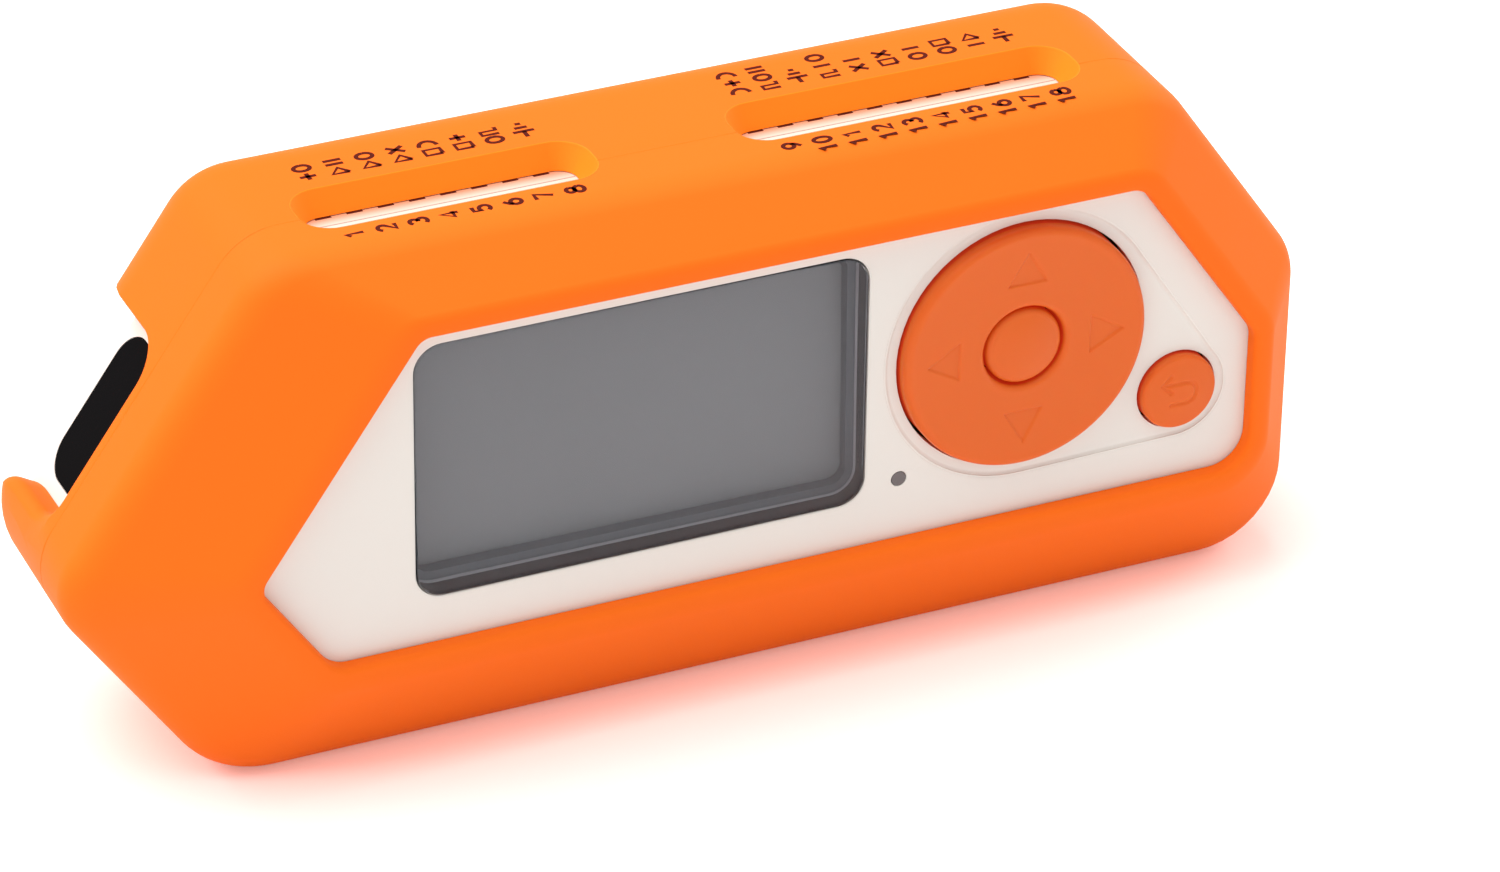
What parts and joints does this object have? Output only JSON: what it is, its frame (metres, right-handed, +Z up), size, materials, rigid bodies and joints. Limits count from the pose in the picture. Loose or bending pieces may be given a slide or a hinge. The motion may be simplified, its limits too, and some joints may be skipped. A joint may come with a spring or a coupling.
{
  "type": "pocket component tester",
  "caption": "Pocket electronics tester with screen, four-way ring key, pin sockets and infrared window, in an orange silicone sleeve.",
  "frame": {"origin": "bottom centre of the sleeve's bounding box, standing on its long lower edge", "axes": "+X along the length towards the keys, +Y from the face into the casing, +Z up towards the pin sockets"},
  "size_m": [0.1036, 0.0292, 0.0443],
  "materials": {
    "orange_silicone": "satin",
    "white_plastic": "matte",
    "orange_plastic": "satin",
    "grey_window": "gloss",
    "black_window": "gloss",
    "display_glass": "satin",
    "black_plastic": "matte",
    "black_foam": "matte",
    "amber_film": "gloss",
    "green_board": "satin",
    "clear_resin": "gloss",
    "gold_contact": "gloss",
    "zinc_steel": "satin",
    "silver_foil": "satin"
  },
  "bodies": {
    "case": {"silicone_sleeve": "orange_silicone", "front_cover": "white_plastic", "back_cover": "white_plastic", "case_screws": "zinc_steel", "screen_window": "grey_window", "screen_gasket": "black_foam", "lcd_panel": "display_glass", "lcd_holder": "black_plastic", "lcd_flex": "amber_film", "key_switches": "black_plastic", "pad_switch_plungers": "black_plastic", "key_board": "green_board", "main_board": "green_board", "ir_board": "green_board", "board_connector": "black_plastic", "led_light_guide": "grey_window", "status_led": "clear_resin", "header_socket_left": "black_plastic", "header_socket_right": "black_plastic", "header_contacts": "gold_contact", "usb_socket": "zinc_steel", "usb_tongue": "black_plastic", "card_socket": "zinc_steel", "processor": "black_plastic", "radio_shield": "zinc_steel", "buzzer": "black_plastic", "vibration_motor": "zinc_steel", "battery": "silver_foil", "battery_pad": "black_foam", "battery_tab": "amber_film", "battery_connector": "black_plastic", "ir_window": "black_window", "ir_leds": "clear_resin", "ir_receiver": "black_window"},
    "pad_cushion": {"dpad_cushion": "black_foam"},
    "ring_key": {"dpad_ring": "orange_plastic"},
    "centre_key": {"ok_key": "orange_plastic", "ok_switch_plunger": "black_plastic"},
    "side_key": {"back_key": "orange_plastic", "back_switch_plunger": "black_plastic"}
  },
  "joints": [
    {"name": "ring_rock_up_down", "type": "hinge", "parent": "case", "child": "pad_cushion", "pos_m": [0.02564, -0.01065, 0.0263], "axis": [1, 0, 0], "range_deg": [-2, 2], "stiffness_Nm_per_rad": 0.4},
    {"name": "ring_rock_left_right", "type": "hinge", "parent": "pad_cushion", "child": "ring_key", "pos_m": [0.02564, -0.01065, 0.0263], "axis": [0, 0, 1], "range_deg": [-2, 2], "stiffness_Nm_per_rad": 0.4},
    {"name": "centre_key_press", "type": "slide", "parent": "case", "child": "centre_key", "axis": [0, 1, 0], "range_m": [0, 0.0003], "stiffness_N_per_m": 3000},
    {"name": "side_key_press", "type": "slide", "parent": "case", "child": "side_key", "axis": [0, 1, 0], "range_m": [0, 0.0003], "stiffness_N_per_m": 3000}
  ]
}
